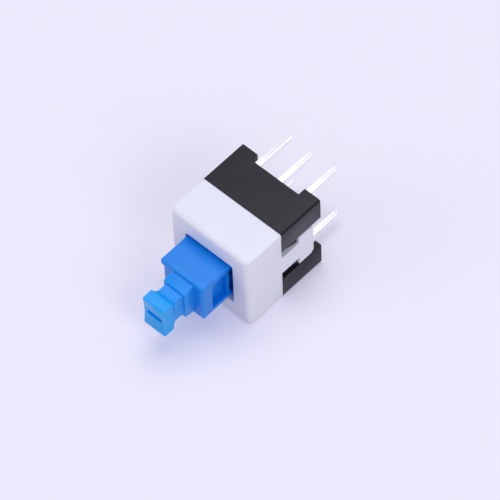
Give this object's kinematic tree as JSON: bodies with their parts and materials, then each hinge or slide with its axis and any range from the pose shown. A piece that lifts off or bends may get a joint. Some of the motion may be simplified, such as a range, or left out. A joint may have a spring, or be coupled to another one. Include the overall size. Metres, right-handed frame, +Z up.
{
  "type": "pushbutton switch",
  "caption": "Small square latching pushbutton switch: white clip-on housing, black base, blue plunger with a notched cap key, and rows of flat solder pins.",
  "frame": {"origin": "centre of the pin grid, in the plane of the four feet's ends, where the switch seats on a board", "axes": "+Y out along the solder pins, -Y the way the plunger comes out, X along the pin rows, +Z up with the switch lying on its side"},
  "size_m": [0.007, 0.0159, 0.007],
  "materials": {
    "white_nylon": "satin moulded",
    "black_nylon": "fine matt moulded",
    "blue_acetal": "satin moulded",
    "spring_steel": "drawn wire",
    "contact_bronze": "silver plated",
    "tinned_brass": "bright tin plated"
  },
  "bodies": {
    "switch_body": {"housing": "white_nylon", "base": "black_nylon", "return_spring": "spring_steel", "latch_leaf": "spring_steel", "terminal_top_break": "tinned_brass", "terminal_top_common": "tinned_brass", "terminal_top_make": "tinned_brass", "terminal_bottom_break": "tinned_brass", "terminal_bottom_common": "tinned_brass", "terminal_bottom_make": "tinned_brass"},
    "plunger_body": {"plunger": "blue_acetal", "contact_strip_top": "contact_bronze", "contact_strip_bottom": "contact_bronze"},
    "latch_body": {"latch_wire": "spring_steel"}
  },
  "joints": [
    {"name": "plunger_slide", "type": "slide", "parent": "switch_body", "child": "plunger_body", "axis": [0, 1, 0], "range_m": [0, 0.002], "stiffness_N_per_m": 500, "springref_m": -0.0028, "deforming": ["return_spring"]},
    {"name": "latch_swing", "type": "hinge", "parent": "switch_body", "child": "latch_body", "pos_m": [0, -0.0011, 0], "axis": [-1, 0, 0], "range_deg": [0, 16.6]}
  ],
  "couplings": [
    {"joint": "latch_swing", "follows": "plunger_slide", "rad_per_m": 144.5}
  ]
}
